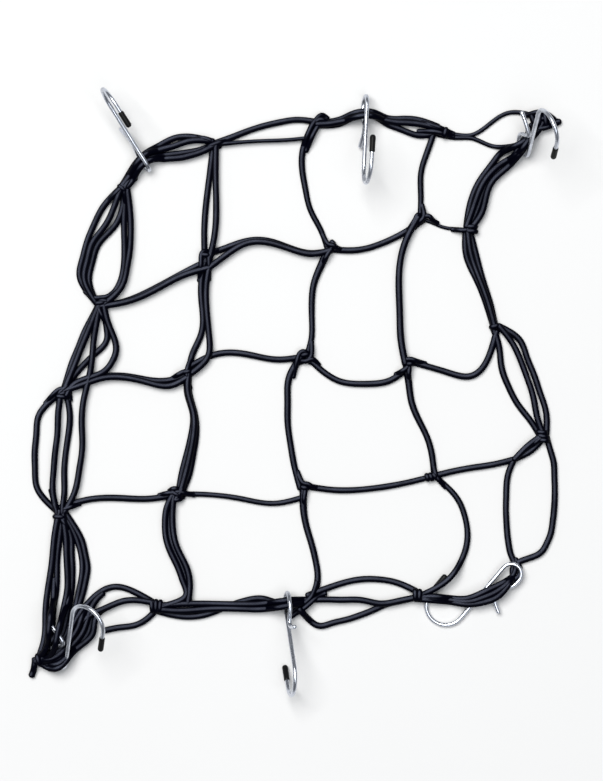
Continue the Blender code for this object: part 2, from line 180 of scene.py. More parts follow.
# from, to, layer, and how far the cord bows to the left of the straight line at even steps along it
CORDS = (
    # rows
    ("B1", "B2", 0, (-4.8, -4.2, -2.4)),
    ("B1", "b2", 1, (-4.2, -2.6, 0.4)),
    ("B2", "B3", 0, (6.2, 9.3, 8.4, 3.0, -1.3)),
    ("b2", "B3", 1, (6.8, 11.5, 10.0, 4.2, -1.0)),
    ("B3", "B4", 0, (-5.6, -6.8, -5.2)),
    ("B4", "B5", 0, (-1.6, -2.6, -1.6)),
    ("C1", "C2", 0, (5.4, 6.4, 4.4, -0.2, -3.0)),
    ("C1", "C2", 1, (3.6, 5.4, 3.4, -1.8, -6.4)),
    ("C2", "C3", 0, (8.6, 6.2, 0.3)),
    ("C3", "C4", 0, (-8.4, -13.8, -14.8, -13.9, -10.8)),
    ("C4", "C5", 0, (-5.6, -13.5, -20.7, -21.0, -14.1)),
    ("D1", "D2", 0, (4.5, 2.8, -0.4)),
    ("D2", "D3", 0, (-1.3, -4.7, -8.5)),
    ("D3", "D4", 0, (-2.9, -3.8, -2.5)),
    ("D4", "d5", 0, (0.8, 0.4, -0.4)),
    ("d5", "D5", 0, (-2.5,)),
    ("d5", "D5", 1, (1.2,)),
    # columns
    ("A2", "B2", 0, (-1.8, -2.8, -2.8)),
    ("A2", "B2", 1, (1.8, 3.4, 4.0)),
    ("B2", "C2", 0, (-1.2, 0.4, 3.4, 4.0, 0.9)),
    ("b2", "C2", 1, (0.5, 2.6, 5.8, 9.1, 10.0)),
    ("C2", "D2", 0, (0.5, 5.2, 5.6, 3.8, 1.8)),
    ("C2", "D2", 1, (1.2, 5.8, 7.0, 6.0, 4.2)),
    ("C2", "D2", 0, (1.8, 6.4, 8.4, 7.8, 6.4)),
    ("D2", "E2", 1, (-4.4, -4.0, -1.9, 2.7, 9.3, 14.6, 17.0)),
    ("D2", "e2", 0, (-5.2, -6.8, -5.2, -1.5, 0.4)),
    ("D2", "e2", 1, (-3.8, -4.6, -2.9, 1.2, 2.3)),
    ("A3", "B3", 0, (-9.7, -12.0, -11.4, -9.8, -5.0)),
    ("B3", "C3", 0, (-3.8, -5.5, -4.3, -1.6, 0.8)),
    ("C3", "D3", 0, (-10.3, -11.1, -10.9, -9.0, -6.4)),
    ("D3", "E3", 0, (-1.0, 0.4, 3.4, 5.8, 6.4)),
    ("A4", "B4", 0, (-4.0, -5.6, -3.3)),
    ("B4", "C4", 1, (-9.0, -11.4, -10.6, -8.7, -6.7)),
    ("C4", "D4", 0, (-2.8, -3.4, -1.2, 1.7, 2.2)),
    ("D4", "E4", 0, (15.2, 21.8, 25.4, 26.8, 25.6, 22.0, 15.0)),
    # top border
    ("A1", "A2", 0, (7.8, 11.8, 14.2, 15.0, 10.8)),
    ("A1", "A2", 1, (4.6, 7.6, 10.2, 10.2, 8.2)),
    ("A1", "A2", 0, (1.8, 3.6, 6.0, 4.6, 1.6)),
    ("A1", "A2", 1, (-1.2, -0.4, 1.8, 1.6, -0.2)),
    ("A2", "A3", 0, (2.8, 4.8, 6.1, 6.5, 5.9)),
    ("A2", "a3", 1, (0.5, 0.3, -0.3)),
    ("A3", "A4", 0, (3.2, 3.2, 4.4, 6.2, 6.2)),
    ("A3", "A4", 1, (1.6, 1.5, 2.8, 3.8, 3.6)),
    ("A3", "A4", 0, (0.6, 0.4, 1.4, 0.6, -3.2)),
    ("A4", "A5", 0, (-3.4, -4.4, 1.0, 6.8, 6.6)),
    ("A4", "A5", 0, (-5.2, -6.6, -12.0, -13.6, -11.5)),
    # right border
    ("A5", "B5", 0, (-10.0, -10.4, -10.8, -11.2, -8.5)),
    ("A5", "B5", 1, (-4.0, -3.8, -7.5, -8.6, -5.8)),
    ("A5", "B5", 0, (0.5, 0.2, -5.0, -6.2, -2.8)),
    ("A5", "B5", 1, (4.2, 3.8, -2.8, -4.0, 0.4)),
    ("B5", "C5", 0, (-6.2, -3.6, -1.6)),
    ("B5", "C5", 1, (-3.3, -2.0, -0.4)),
    ("B5", "C5", 0, (-0.2, 0.0, 0.8)),
    ("C5", "D5", 0, (10.7, 10.8, 10.4, 9.3, 7.8)),
    ("C5", "D5", 1, (5.8, 6.3, 5.6, 4.3, 1.5)),
    ("C5", "D5", 0, (-2.5, -6.2, -7.0, -6.2, -3.2)),
    ("D5", "E5", 0, (6.5, 10.4, 12.5, 14.4, 16.0, 17.2, 18.0, 18.3, 17.0, 12.8, 2.0)),
    ("d5", "E5", 0, (-2.5, -4.0, -4.4, -4.4, -4.4, -4.1, -3.6, -3.0, -2.0, -0.5, 1.8)),
    # bottom border
    ("E5", "E4", 0, (4.8, 7.2, 8.8, 6.4, 3.0)),
    ("E5", "E4", 1, (7.9, 10.3, 10.8, 7.6, 4.2)),
    ("E5", "E4", 0, (11.0, 13.2, 12.4, 8.8, 5.4)),
    ("E4", "E3", 0, (-8.0, -10.6, -11.1, -9.4, -6.2)),
    ("E4", "E3", 1, (3.2, 4.2, 1.6, 0.9, 0.2)),
    ("E4", "e3", 0, (2.6, 3.6, 6.2, 8.6, 10.3, 11.4, 11.3)),
    ("E3", "E2", 0, (-2.0, -2.2, 1.2, 6.4, 7.0)),
    ("E3", "E2", 1, (1.6, 1.4, 0.6, -0.4, -0.8)),
    ("E3", "E2", 1, (5.0, 4.6, 3.4, 3.0, 3.4)),
    ("E2", "E1", 0, (-19.0, -22.0, -17.0, -9.0, -3.5)),
    ("E2", "E1", 1, (-10.4, -11.8, -11.0, -5.0, 0.0)),
    ("E2", "tail_b", 0, (5.0, 5.0, 2.2)),
    # left border
    ("E1", "D1", 1, (-3.5, -1.5, -0.5, -0.2, 1.0)),
    ("E1", "D1", 0, (-7.0, -6.0, -5.5, -3.2, -2.2)),
    ("E1", "D1", 1, (-4.2, -9.4, -11.4, -12.0, -12.4, -12.5, -11.3, -9.5, -7.8, -6.2, -3.8)),
    ("E1", "D1", 0, (-4.6, -12.6, -15.0, -15.2, -15.2, -15.0, -14.2, -12.8, -11.0, -9.4, -5.5)),
    ("E1", "D1", 0, (-5.2, -14.5, -17.5, -19.5, -21.2, -22.3, -22.6, -22.3, -19.5, -16.0, -9.8)),
    ("D1", "C1", 0, (14.0, 16.4, 16.8, 16.0, 14.0)),
    ("D1", "C1", 1, (5.0, 4.8, 4.0, 2.8, 2.6)),
    ("D1", "C1", 0, (-2.0, -1.7, -2.4, -3.9, -4.4)),
    ("D1", "c1", 1, (-6.2, -6.0, -4.9, -1.6, 0.4)),
    ("C1", "B1", 0, (1.4, 2.2, 2.2, 2.2, 1.4)),
    ("C1", "B1", 1, (0.0, 0.0, 0.2, 0.2, 0.2)),
    ("C1", "B1", 0, (-1.5, -4.5, -8.8, -12.4, -8.0)),
    ("c1", "B1", 1, (-0.2, 0.5, 0.3)),
    ("C1", "B1", 1, (-5.5, -16.5, -20.7, -19.0, -10.0)),
    ("B1", "A1", 0, (15.0, 16.4, 15.7, 13.4, 9.8)),
    ("B1", "A1", 1, (12.2, 13.0, 12.0, 6.5, 3.5)),
    ("B1", "A1", 0, (9.5, 10.0, 8.4, 1.3, -1.5)),
    ("B1", "A1", 0, (-8.6, -9.8, -8.0, -5.2, -3.0)),
    ("B1", "A1", 1, (-10.8, -12.0, -11.5, -9.6, -6.6)),
    # free ends
    ("A5", "tail_a", 0, (0.0,)),
    ("E1", "tail_e", 0, (0.5,)),
)

# name: x and y of the eye's outer end, heading, pitch and roll in degrees, and the bundle in its eye
HOOKS = {
    "hook_top_left": (-95.0, 113.0, 122, 12, 98, ("A1", "A2")),
    "hook_top": (38.0, 163.0, 267, 12, 80, ("A3", "A4")),
    "hook_top_right": (136.5, 121.0, 80, 58, 125, ("A5", "B5")),
    "hook_bottom_left": (-149.5, -196.0, 80, 38, 150, ("E2", "E1")),
    "hook_bottom": (-13.5, -150.0, 279, 35, 255, ("E3", "E2")),
    "hook_bottom_right": (127.0, -125.0, 230, -5, 180, None),
}

# Knots that stay down inside an eye, and bundles that pass under the wires above them
LOW_KNOTS = ("E5",)
LOW_BUNDLES = (("D5", "E5"), ("d5", "E5"), ("E1", "D1"))

# How far to its left a cord enters its two knots, where that isn't on the side that it bows to
ENTRIES = {
    ("B3", "B4"): (0.0, -1.5),
    ("C3", "C4"): (0.0, -2.0),
    ("C4", "C5"): (2.2, -2.6),
    ("C4", "D4"): (-2.0, 1.0),
    ("D2", "D3"): (0.0, -5.2),
    ("D3", "D4"): (1.5, 0.5),
}

# How thick a cord is at its start, middle and end, as shares of the full thickness
PULLED = {
    ("A2", "a3"): (0.75, 0.62, 0.7),
    ("A4", "A5"): (0.85, 0.68, 0.8),
    ("A3", "B3"): (1.15, 0.95, 0.82),
    ("A4", "B4"): (1.0, 0.92, 0.8),
    ("B3", "C3"): (1.3, 1.0, 0.9),
    ("B4", "B5"): (0.6, 0.55, 0.75),
    ("B4", "C4"): (1.1, 1.05, 1.15),
    ("C3", "D3"): (1.25, 1.0, 1.05),
    ("C4", "D4"): (1.2, 1.0, 1.05),
    ("D2", "D3"): (0.8, 0.85, 0.9),
    ("D3", "D4"): (1.05, 0.95, 0.9),
    ("D3", "E3"): (1.3, 1.0, 1.1),
    ("D4", "E4"): (0.9, 0.95, 1.0),
}
UNPULLED = (1.0, 1.0, 1.0)

# Strands wound round each knot: where, from the knot's middle, which way the strands they hold run in
# degrees, and half the winding's width
BANDS = {
    "A1": ((-0.4, 0.4, 52, 4.2),),
    "A4": ((4.6, -1.4, -14, 3.8),),
    "A5": ((-4.4, 0.4, 20, 5.0), (-0.6, 0.8, -6, 5.6), (3.2, 0.8, 8, 5.4), (6.4, 0.2, 0, 4.4)),
    "B1": ((0.2, 0.2, 96, 4.4),),
    "B2": ((-0.6, 2.4, 86, 4.2),),
    "B5": ((0.8, -1.4, 88, 4.4), (0.9, 1.4, 92, 4.2)),
    "C1": ((-0.6, -1.8, 84, 4.4),),
    "C2": ((-0.6, 0.2, 97, 4.0),),
    "C4": ((0.2, 0.0, 92, 3.2),),
    "C5": ((-0.2, 0.8, 104, 3.8),),
    "D1": ((-0.5, -3.6, 88, 4.6),),
    "D2": ((-0.4, 0.0, 60, 4.6),),
    "D3": ((0.2, 0.4, 80, 3.4),),
    "D4": ((-3.4, -0.2, 18, 2.9), (-1.1, 0.1, 26, 3.0), (1.2, 0.6, 36, 3.1)),
    "D5": ((-0.6, 2.2, 86, 4.0), (0.0, -0.3, 78, 4.1), (0.6, -2.8, 86, 3.8)),
    "E1": ((2.6, 1.0, 16, 4.3), (5.2, 2.2, 12, 4.9)),
    "E2": ((-1.8, 0.1, 4, 4.5), (0.7, 0.0, 0, 4.7), (3.2, -0.1, -4, 4.5)),
    "E4": ((-0.5, 0.1, 3, 4.4), (2.1, -0.1, -3, 4.3)),
}

# Strands that cross over the top of a knot: x and y from the knot's middle
OVERS = {
    "A1": (
        ((8.5, 10.5), (2.4, 3.8), (0.8, -1.5), (1.0, -11.0)),
        ((-11.0, -9.0), (-3.2, -0.8), (1.0, 2.4), (7.5, 7.0)),
    ),
    "A2": (
        ((-13.0, 4.4), (-6.0, 4.0), (0.0, 1.4), (3.2, -1.0)),
        ((-8.0, -3.4), (-2.6, -0.6), (2.0, 1.2), (9.5, 3.2)),
    ),
    "A3": (
        ((-9.0, -16.0), (-4.6, -3.5), (-0.4, 3.4), (3.2, 6.6), (6.8, 4.6)),
        ((-6.5, -15.5), (-1.6, -4.6), (2.6, 1.8), (6.2, 4.8)),
        ((-3.0, -2.0), (1.2, 3.4), (5.4, 3.0), (10.0, 2.0)),
    ),
    "A4": (
        ((-14.0, 6.2), (-5.0, 3.6), (2.5, 1.2), (10.0, -2.0)),
        ((-12.0, -0.4), (-4.0, -0.6), (2.0, -1.6), (10.0, -4.0)),
    ),
    "A5": (
        ((-10.0, 3.4), (-3.0, 5.6), (3.0, 5.4), (8.5, 2.0)),
        ((-8.0, -5.6), (-1.0, -4.6), (5.0, -3.4), (11.0, -0.6)),
        ((-6.0, -2.4), (-0.5, 1.2), (5.0, 1.6), (10.5, 0.6)),
    ),
    "B1": (
        ((-9.4, 7.6), (-4.6, 3.8), (0.5, 3.6), (5.6, 4.8), (11.0, 10.0)),
        ((-3.4, 1.0), (1.0, 1.7), (5.0, 1.2), (9.0, 0.2)),
        ((-2.4, 2.6), (-0.8, -3.0), (1.6, -8.0), (4.4, -13.5)),
    ),
    "B2": (
        ((-4.6, -13.5), (-3.6, -5.0), (-3.4, 1.5), (-2.2, 4.4), (0.8, 4.8), (3.8, 2.6)),
        ((9.6, 6.6), (5.0, 4.8), (1.8, 1.6), (1.6, -4.0), (1.2, -13.0)),
    ),
    "B3": (
        ((-5.4, 9.5), (-2.0, 3.4), (1.2, 2.4), (3.8, 0.8), (8.0, -0.4)),
        ((-6.4, -11.0), (-1.8, -2.6), (0.8, 1.2), (1.6, 3.4), (0.2, 4.8)),
    ),
    "B4": (
        ((-10.0, -9.5), (-4.8, -1.6), (-2.8, 1.8), (-0.8, 0.0), (-0.6, -2.4)),
        ((-0.2, 8.0), (1.0, 1.6), (-1.2, -2.2), (-5.0, -6.2)),
        ((-2.0, -1.6), (1.8, 0.8), (4.4, 0.8), (6.4, -1.4), (9.5, -3.2)),
    ),
    "B5": (((-11.0, -0.2), (-4.0, -0.8), (0.6, -0.4), (3.2, 0.0)),),
    "C1": (
        ((-11.0, -6.0), (-4.4, 1.2), (-0.2, 3.2), (3.4, 1.6), (4.4, -4.0)),
        ((6.2, 12.0), (2.0, 4.4), (-2.0, 0.4), (-2.8, -7.0)),
        ((-4.8, 0.0), (0.0, 0.2), (4.6, 0.6)),
    ),
    "C2": (
        ((-10.0, -4.0), (-4.0, -0.4), (-0.4, 0.4), (3.0, -1.0)),
        ((2.4, 10.0), (-0.2, 3.0), (-0.6, -2.0), (1.2, -10.0)),
    ),
    "C3": (
        ((-8.0, -13.0), (-5.8, -4.0), (-4.2, 1.2), (-1.5, 2.8), (1.2, 0.8), (2.6, -4.4)),
        ((3.4, 10.0), (3.6, 2.4), (2.0, -1.8), (-3.6, -4.0)),
        ((-4.8, -2.6), (0.0, -3.2), (4.0, -2.0), (8.0, -5.6)),
        ((-4.4, -0.4), (0.4, 0.9), (3.8, 0.4)),
    ),
    "C4": (
        ((-5.0, 10.0), (-2.8, 3.6), (0.5, 3.0), (4.0, 2.0), (10.0, 0.2)),
        ((-8.5, -6.6), (-2.2, -2.8), (0.6, 0.0), (2.6, 0.6)),
        ((-1.6, 1.6), (-0.2, -1.8), (-0.4, -6.0), (0.0, -11.0)),
    ),
    "D1": (
        ((-6.2, 13.0), (-3.6, 4.0), (-2.2, -2.0), (-3.6, -11.0)),
        ((2.4, 12.0), (1.4, 4.0), (1.2, -2.0), (0.4, -9.0)),
        ((12.0, 4.6), (6.0, 2.4), (1.0, 0.8), (-3.4, -0.4)),
        ((-0.4, -1.4), (2.0, -6.5), (5.6, -12.0)),
    ),
    "D2": (
        ((-11.0, -1.0), (-4.0, 0.8), (0.0, -0.8), (3.8, -2.2)),
        ((-5.4, -4.2), (-2.0, 0.0), (1.5, 1.4), (5.0, 0.6), (11.0, -0.6)),
        ((6.0, 12.5), (3.8, 4.4), (1.2, -0.6), (-2.0, -5.5), (-4.8, -12.5)),
        ((-4.6, 1.8), (-1.6, 3.4), (2.6, 2.6)),
        ((-4.0, -2.4), (0.2, -3.6), (4.0, -1.8)),
    ),
    "D3": (
        ((-4.4, 10.5), (-1.2, 3.8), (2.0, 2.8), (4.8, 1.2), (10.0, 0.0)),
        ((1.2, 3.2), (0.4, -2.5), (-0.2, -7.0), (-0.6, -12.5)),
    ),
    "D4": (((0.2, 8.5), (1.4, 2.6), (3.0, -0.8), (8.0, -6.4)),),
    "D5": (((-9.5, -8.0), (-3.6, -3.2), (0.5, 0.4), (3.2, 4.0)),),
    "E5": (
        ((2.6, 9.0), (5.0, 5.0), (5.4, 0.6), (2.6, -3.0), (-2.6, -6.2), (-11.0, -10.4)),
        ((2.4, 9.2), (2.6, 4.4), (1.6, 0.4), (-2.0, -3.4), (-9.6, -7.6)),
    ),
    "E3": (
        ((-11.5, -9.4), (-3.0, -2.6), (2.6, 2.8), (5.6, 11.0)),
        ((-10.0, -10.2), (-1.2, -4.2), (4.2, 0.4), (11.0, 4.0)),
    ),
}

# Loose strands that lie over the bundles at a corner: thickness as a share, layer, how high the wires are
# that they ride over, and x and y along them
STRAYS = (
    (0.95, 1, LOW_WIRE, (
        (-164.9, -189.1), (-160.6, -192.3), (-155.0, -193.4), (-149.4, -190.0), (-144.5, -183.8),
        (-137.6, -177.9), (-132.2, -172.4), (-130.8, -165.4), (-128.2, -159.2), (-122.5, -155.6),
    )),
    (1.0, 1, LOW_WIRE, (
        (-163.7, -188.5), (-157.5, -188.8), (-151.3, -186.0), (-146.3, -181.0), (-140.1, -174.2),
        (-136.2, -166.6), (-133.8, -158.6), (-130.6, -152.0), (-125.9, -147.0),
    )),
    (0.9, 2, LOW_WIRE, (
        (-158.7, -186.0), (-152.5, -182.3), (-146.3, -176.1), (-141.0, -168.4), (-138.6, -161.6),
        (-134.4, -155.0),
    )),
    (1.0, 0, LOW_WIRE, (
        (-160.0, -190.6), (-152.4, -190.0), (-145.8, -184.2), (-139.0, -177.4), (-134.2, -170.2),
        (-132.8, -163.4), (-130.4, -159.4),
    )),
    (0.95, 1, HIGH_WIRE, (
        (-165.8, -186.4), (-161.4, -182.6), (-158.9, -175.8), (-158.0, -168.4), (-157.2, -160.4),
        (-156.2, -150.0), (-156.0, -138.0),
    )),
    (0.95, 1, HIGH_WIRE, (
        (-162.6, -187.6), (-157.2, -184.2), (-154.0, -177.6), (-152.6, -170.0), (-150.4, -161.6),
        (-147.4, -151.6), (-146.6, -140.0),
    )),
    (0.95, 0, LOW_WIRE, (
        (-146.6, -166.8), (-143.2, -157.4), (-140.8, -146.0), (-138.9, -136.0), (-138.8, -126.4),
        (-141.2, -115.8), (-145.6, -105.6), (-150.6, -98.6),
    )),
)


# ---------------------------------------------------------------- sizes and colours


class NetSizes(bpy.types.PropertyGroup):
    """Sizes and colours of the elastic net."""

    strand: bpy.props.FloatProperty(
        name="Cord thickness", description="Thickness of the elastic cord", default=0.004,
        min=0.001, max=0.006, unit="LENGTH",
    )
    wrap: bpy.props.FloatProperty(
        name="Wrap thickness", description="Thickness of the cord where it is pulled tight round a knot",
        default=0.0032, min=0.001, max=0.006, unit="LENGTH",
    )
    colour: bpy.props.FloatVectorProperty(
        name="Cord colour", description="Colour of the braided cover", default=(0.0005, 0.0006, 0.0028),
        subtype="COLOR", min=0.0, max=1.0,
    )
    # Colour of the painted highlight on the side of the cords towards the key light
    wear_and_highlight: bpy.props.FloatVectorProperty(
        name="Highlight colour", description="Colour of the painted highlight on the cords", default=(0.060, 0.066, 0.092),
        subtype="COLOR", min=0.0, max=1.0,
    )


class HookSizes(bpy.types.PropertyGroup):
    """Sizes and colours of the wire hooks."""

    wire: bpy.props.FloatProperty(
        name="Wire thickness", description="Thickness of the plated wire", default=0.0026,
        min=0.001, max=0.0028, unit="LENGTH",
    )
    tip: bpy.props.FloatProperty(
        name="Tip thickness", description="Thickness of the dipped tips", default=0.0037,
        min=0.002, max=0.0046, unit="LENGTH",
    )
    plating: bpy.props.FloatVectorProperty(
        name="Plating", description="Colour of the bright plating", default=(0.60, 0.63, 0.70),
        subtype="COLOR", min=0.0, max=1.0,
    )
    dip: bpy.props.FloatVectorProperty(
        name="Tip colour", description="Colour of the dipped tips", default=(0.003, 0.003, 0.0034),
        subtype="COLOR", min=0.0, max=1.0,
    )


class StageSizes(bpy.types.PropertyGroup):
    """The camera, lights and floor."""

    height: bpy.props.FloatProperty(
        name="Camera height", description="How far the camera is above the floor", default=2.3,
        min=0.5, max=10.0, unit="LENGTH",
    )
    view_height: bpy.props.FloatProperty(
        name="View", description="How much of the floor the picture's height takes in", default=0.4842,
        min=0.1, max=3.0, unit="LENGTH",
    )
    floor: bpy.props.FloatVectorProperty(
        name="Floor colour", description="Colour of the floor", default=(0.58, 0.58, 0.58),
        subtype="COLOR", min=0.0, max=1.0,
    )


# ---------------------------------------------------------------- routes


def smooth_step(share):
    share = min(max(share, 0.0), 1.0)
    return share * share * (3.0 - 2.0 * share)


def natural_spline(values, share):
    """A smooth curve through evenly spaced values, straight at its two ends."""
    count = len(values) - 1
    bends = [0.0] * (count + 1)
    slopes = [0.0] * (count + 1)
    for i in range(1, count):
        pull = 6.0 * (values[i + 1] - 2.0 * values[i] + values[i - 1])
        pivot = 4.0 - slopes[i - 1]
        slopes[i] = 1.0 / pivot
        bends[i] = (pull - bends[i - 1]) / pivot
    for i in range(count - 1, 0, -1):
        bends[i] -= slopes[i] * bends[i + 1]
    i = min(int(share * count), count - 1)
    t = share * count - i
    rest = 1.0 - t
    chord = rest * values[i] + t * values[i + 1]
    return chord + (bends[i] * (rest**3 - rest) + bends[i + 1] * (t**3 - t)) / 6.0


def spline_through(points, step):
    """Points a step apart on a smooth curve through the given ones."""
    columns = [[point[axis] for point in points] for axis in range(3)]
    fine = SPLINE_PARTS * (len(points) - 1)
    curve = [Vector([natural_spline(column, i / fine) for column in columns]) for i in range(fine + 1)]
    return even_steps(curve, step)


def even_steps(route, step):
    """Points on a route, an even distance of about a step apart, with its ends kept."""
    reach = [0.0]
    for start, end in zip(route, route[1:]):
        reach.append(reach[-1] + (end - start).length)
    count = max(2, round(reach[-1] / step))
    points = []
    i = 0
    for k in range(count + 1):
        target = reach[-1] * k / count
        while i < len(route) - 2 and reach[i + 1] < target:
            i += 1
        span = reach[i + 1] - reach[i]
        points.append(route[i].lerp(route[i + 1], (target - reach[i]) / span if span else 0.0))
    return points


def hook_wire():
    """The wire's middle line in hook coordinates, from the flared end round the eye to the open end."""
    points = [Vector((u, v, 0.0)) for u, v in EYE_MOUTH]
    for i in range(ARC_STEPS + 1):
        angle = math.pi * i / ARC_STEPS
        u = WIRE_RADIUS + EYE_RADIUS * (1.0 - math.sin(angle))
        v = -EYE_RADIUS * (1.0 + math.cos(angle))
        points.append(Vector((u, v, 0.0)))
    for i in range(ARC_STEPS + 1):
        angle = math.pi * i / ARC_STEPS
        u = HOOK_LENGTH - WIRE_RADIUS - BEND_RADIUS * (1.0 - math.sin(angle))
        v = BEND_RADIUS * (1.0 - math.cos(angle))
        points.append(Vector((u, v, 0.0)))
    points.append(points[-1] - Vector((LIMB_LENGTH, 0.0, 0.0)))
    return points


def hook_spots():
    """Close points along a hook in its own coordinates, each with the radius of the wire or tip there."""
    points = hook_wire()
    spots = []
    for start, end in zip(points, points[1:]):
        steps = math.ceil((end - start).length / WIRE_RADIUS)
        spots += [(start.lerp(end, i / steps), WIRE_RADIUS) for i in range(steps)]
    end = points[-1]
    spots.append((end, TIP_RADIUS))
    return [(spot, TIP_RADIUS if (spot - end).length < TIP_LENGTH else radius) for spot, radius in spots]


def hook_frame(row):
    """Takes hook coordinates to those of the net, with the hook's lowest place on the surface."""
    x, y, heading, pitch, roll = row[:5]
    turn = Matrix.Rotation(math.radians(heading), 4, "Z")
    turn = turn @ Matrix.Rotation(math.radians(-pitch), 4, "Y")
    turn = turn @ Matrix.Rotation(math.radians(roll), 4, "X")
    lowest = min((turn @ spot).z - radius for spot, radius in hook_spots())
    return Matrix.Translation((x, y, -lowest)) @ turn


def low_wires(limit=LOW_WIRE):
    """Tops of the places on the hooks that are lower than a limit."""
    tops = []
    for row in HOOKS.values():
        place = hook_frame(row)
        tops += [place @ spot + Vector((0.0, 0.0, radius)) for spot, radius in hook_spots()]
    return [top for top in tops if top.z < limit]


def ride_height(x, y, wires):
    """How far the wires under the spot x, y lift what crosses them."""
    height = 0.0
    for top in wires:
        away = math.hypot(x - top.x, y - top.y)
        over = top.z + RIDE_CLEARANCE
        height = max(height, over * (1.0 - smooth_step((away - RIDE_FLAT) / RIDE_FADE)))
    return height


def place_of(name):
    x, y = KNOTS[name][:2] if name in KNOTS else MEETS[name]
    return Vector((x, y, 0.0))


def knot_lift(name, wires):
    """How far a knot lies above the surface."""
    if name in LOW_KNOTS:
        return 0.0
    place = place_of(name)
    return ride_height(place.x, place.y, wires)


def entries(first, last, bows):
    """How far to its left a cord enters its two knots: most often on the side that it comes from."""
    usual = [min(max(BOW_TO_ENTRY * bow, -END_SPREAD), END_SPREAD) for bow in (bows[0], bows[-1])]
    sides = ENTRIES.get((first, last), usual)
    return [side if name in KNOTS else 0.0 for name, side in zip((first, last), sides)]


def plain_route(row, low_tops):
    """Close points along one cord, from one knot's middle to the next, over any wires on its way."""
    first, last, layer, bows = row
    start, end = place_of(first), place_of(last)
    left = Vector((start.y - end.y, end.x - start.x, 0.0)).normalized()
    starts, ends = entries(first, last, bows)
    sides = (starts, *bows, ends)
    wires = [] if (first, last) in LOW_BUNDLES else low_tops
    lifts = [knot_lift(name, low_tops) for name in (first, last)]
    rise = layer * LAYER_RISE
    route = []
    for i in range(ROUTE_STEPS + 1):
        share = i / ROUTE_STEPS
        point = start.lerp(end, share) + left * natural_spline(sides, share)
        height = max(rise, ride_height(point.x, point.y, wires))
        for place, lift in zip((start, end), lifts):
            near = 1.0 - smooth_step((point - place).length / KNOT_BLEND)
            height += near * (max(rise, lift) - height)
        point.z = CORD_SEAT + height
        route.append(point)
    return route


def crossing(route, place):
    """Where a route crosses the plane of a hook: the step just before it."""
    across = [(place.inverted() @ point).z for point in route]
    steps = [i for i in range(len(route) - 1) if across[i] * across[i + 1] <= 0.0]
    return min(steps, key=lambda i: (place.inverted() @ route[i]).length)


def gather(routes, place):
    """Bends a bundle's routes so that they pass through the eye of a hook, each in a slot of its own."""
    layers = ([], [])
    for row, route in routes:
        step = crossing(route, place)
        layers[row[2]].append(((place.inverted() @ route[step]).x, step, route))
    sets = (RETURN_SLOTS, SHANK_SLOTS)
    sets = sorted(sets, key=lambda slots: (place @ Vector((*slots[0], 0.0))).z)
    for found, slots in zip(layers, sets):
        found.sort(key=lambda item: item[0])
        starts = range(len(slots) - len(found) + 1)
        start = min(
            starts, key=lambda k: sum(abs(item[0] - slot[0]) for item, slot in zip(found, slots[k:]))
        )
        for (_, step, route), slot in zip(found, slots[start:]):
            shift = place @ Vector((*slot, 0.0)) - route[step]
            middle = route[step].copy()
            for point in route:
                point += shift * (1.0 - smooth_step((point - middle).length / GATHER_LENGTH))
                point.z = max(point.z, CORD_SEAT)


def cord_routes():
    """The routes of all cords, gathered where they pass through an eye."""
    wires = low_wires()
    routes = [(row, plain_route(row, wires)) for row in CORDS]
    for hook in HOOKS.values():
        if hook[5]:
            gather([pair for pair in routes if pair[0][:2] == hook[5]], hook_frame(hook))
    return [(row[:2], even_steps(route, CORD_STEP)) for row, route in routes]


# ---------------------------------------------------------------- shapes


